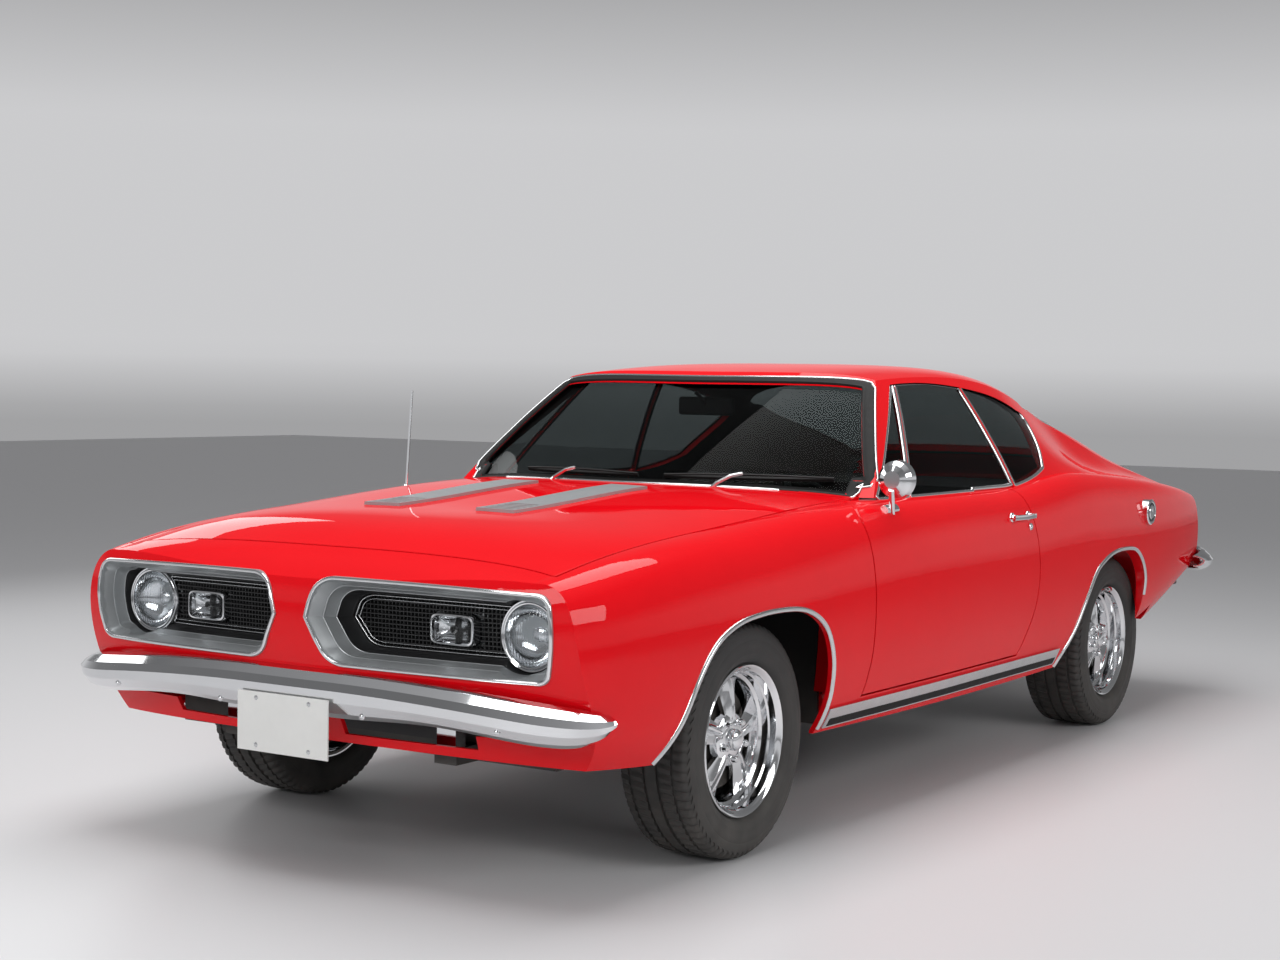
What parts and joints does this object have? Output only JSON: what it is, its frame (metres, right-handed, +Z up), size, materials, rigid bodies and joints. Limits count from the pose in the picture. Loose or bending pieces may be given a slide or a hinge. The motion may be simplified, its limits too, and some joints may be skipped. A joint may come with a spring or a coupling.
{
  "type": "two-door muscle car",
  "caption": "Fastback two-door car with a long nose, split grille, chrome bumpers, turning and steered wheels, and opening doors, hood and trunk lid.",
  "frame": {"origin": "on the ground, at the middle of the car's length and width", "axes": "+Z up, -Y towards the front of the car, +X towards the car's left side"},
  "size_m": [1.8327, 4.8955, 1.3402],
  "materials": {
    "paint": "gloss bright red body paint",
    "underside": "satin black chassis paint",
    "window": "clear glass with a slight green tint",
    "argent": "argent grey paint",
    "mesh_black": "black grille paint",
    "lamp_clear": "clear lamp glass",
    "lamp_red": "red lamp lens",
    "chrome": "polished chrome plate",
    "trim_bright": "bright trim metal",
    "plate": "blank off-white plate",
    "cabin_plastic": "black padded cabin trim",
    "vinyl": "black seat vinyl",
    "iron": "dark cast iron",
    "pipe_steel": "aluminised pipe steel",
    "core": "black radiator core",
    "tyre": "black tyre rubber"
  },
  "bodies": {
    "chassis": {"body_shell": "paint", "cowl_panel": "paint", "fender_left": "paint", "fender_right": "paint", "nose_panel": "paint", "front_valance": "paint", "bulkhead": "underside", "floor_pan": "underside", "front_frame": "underside", "fuel_tank": "underside", "windshield": "window", "rear_glass": "window", "quarter_glass": "window", "grille_frames": "argent", "grille_mesh": "mesh_black", "headlamps": "lamp_clear", "turn_lamps": "lamp_clear", "tail_lamps": "lamp_red", "front_bumper": "chrome", "rear_bumper": "chrome", "fuel_cap": "chrome", "aerial": "chrome", "sill_trims": "trim_bright", "wipers": "trim_bright", "number_plates": "plate", "dashboard": "cabin_plastic", "front_seats": "vinyl", "rear_seat": "vinyl", "engine_block": "iron", "driveline": "iron", "rear_axle": "iron", "exhaust": "pipe_steel", "radiator": "core"},
    "hood": {"hood": "paint", "hood_louvres": "argent"},
    "trunk_lid": {"trunk_lid": "paint"},
    "door_left": {"door_left": "paint", "door_glass_left": "window", "door_mirror": "chrome"},
    "door_right": {"door_right": "paint", "door_glass_right": "window"},
    "steering_wheel": {"steering_wheel": "cabin_plastic"},
    "steering_rod": {"steering_rod": "iron"},
    "knuckle_left": {"knuckle_left": "iron"},
    "knuckle_right": {"knuckle_right": "iron"},
    "wheel_front_left": {"tyre_front_left": "tyre", "rim_front_left": "chrome"},
    "wheel_front_right": {"tyre_front_right": "tyre", "rim_front_right": "chrome"},
    "wheel_rear_left": {"tyre_rear_left": "tyre", "rim_rear_left": "chrome"},
    "wheel_rear_right": {"tyre_rear_right": "tyre", "rim_rear_right": "chrome"}
  },
  "joints": [
    {"name": "door_left_hinge", "type": "hinge", "parent": "chassis", "child": "door_left", "pos_m": [0.9, -0.935, 0.65], "axis": [0, 0, -1], "range_deg": [0, 65]},
    {"name": "door_right_hinge", "type": "hinge", "parent": "chassis", "child": "door_right", "pos_m": [-0.9, -0.935, 0.65], "axis": [0, 0, 1], "range_deg": [0, 65]},
    {"name": "hood_hinge", "type": "hinge", "parent": "chassis", "child": "hood", "pos_m": [0, -0.79, 0.96], "axis": [-1, 0, 0], "range_deg": [0, 50]},
    {"name": "trunk_lid_hinge", "type": "hinge", "parent": "chassis", "child": "trunk_lid", "pos_m": [0, 1.816, 1.02], "axis": [1, 0, 0], "range_deg": [0, 75]},
    {"name": "steering", "type": "hinge", "parent": "chassis", "child": "steering_wheel", "pos_m": [0.36, -0.43, 0.8], "axis": [0, 0.9272, 0.3746], "range_deg": [-544, 544]},
    {"name": "knuckle_left_turn", "type": "hinge", "parent": "chassis", "child": "knuckle_left", "pos_m": [0.65, -1.548, 0.318], "axis": [0, 0, 1], "range_deg": [-34.1, 34.1]},
    {"name": "knuckle_right_turn", "type": "hinge", "parent": "chassis", "child": "knuckle_right", "pos_m": [-0.65, -1.548, 0.318], "axis": [0, 0, 1], "range_deg": [-34.1, 34.1]},
    {"name": "steering_rod_slide", "type": "slide", "parent": "chassis", "child": "steering_rod", "axis": [1, 0, 0], "range_m": [-0.0596, 0.0596]},
    {"name": "wheel_front_left_spin", "type": "hinge", "parent": "knuckle_left", "child": "wheel_front_left", "pos_m": [0.729, -1.548, 0.318], "axis": [1, 0, 0], "continuous": true},
    {"name": "wheel_front_right_spin", "type": "hinge", "parent": "knuckle_right", "child": "wheel_front_right", "pos_m": [-0.729, -1.548, 0.318], "axis": [1, 0, 0], "continuous": true},
    {"name": "wheel_rear_left_spin", "type": "hinge", "parent": "chassis", "child": "wheel_rear_left", "pos_m": [0.706, 1.195, 0.318], "axis": [1, 0, 0], "continuous": true},
    {"name": "wheel_rear_right_spin", "type": "hinge", "parent": "chassis", "child": "wheel_rear_right", "pos_m": [-0.706, 1.195, 0.318], "axis": [1, 0, 0], "continuous": true}
  ],
  "couplings": [
    {"joint": "knuckle_left_turn", "follows": "steering", "ratio": 0.0625},
    {"joint": "knuckle_right_turn", "follows": "steering", "ratio": 0.0625},
    {"joint": "steering_rod_slide", "follows": "steering", "m_per_rad": -0.00625}
  ]
}
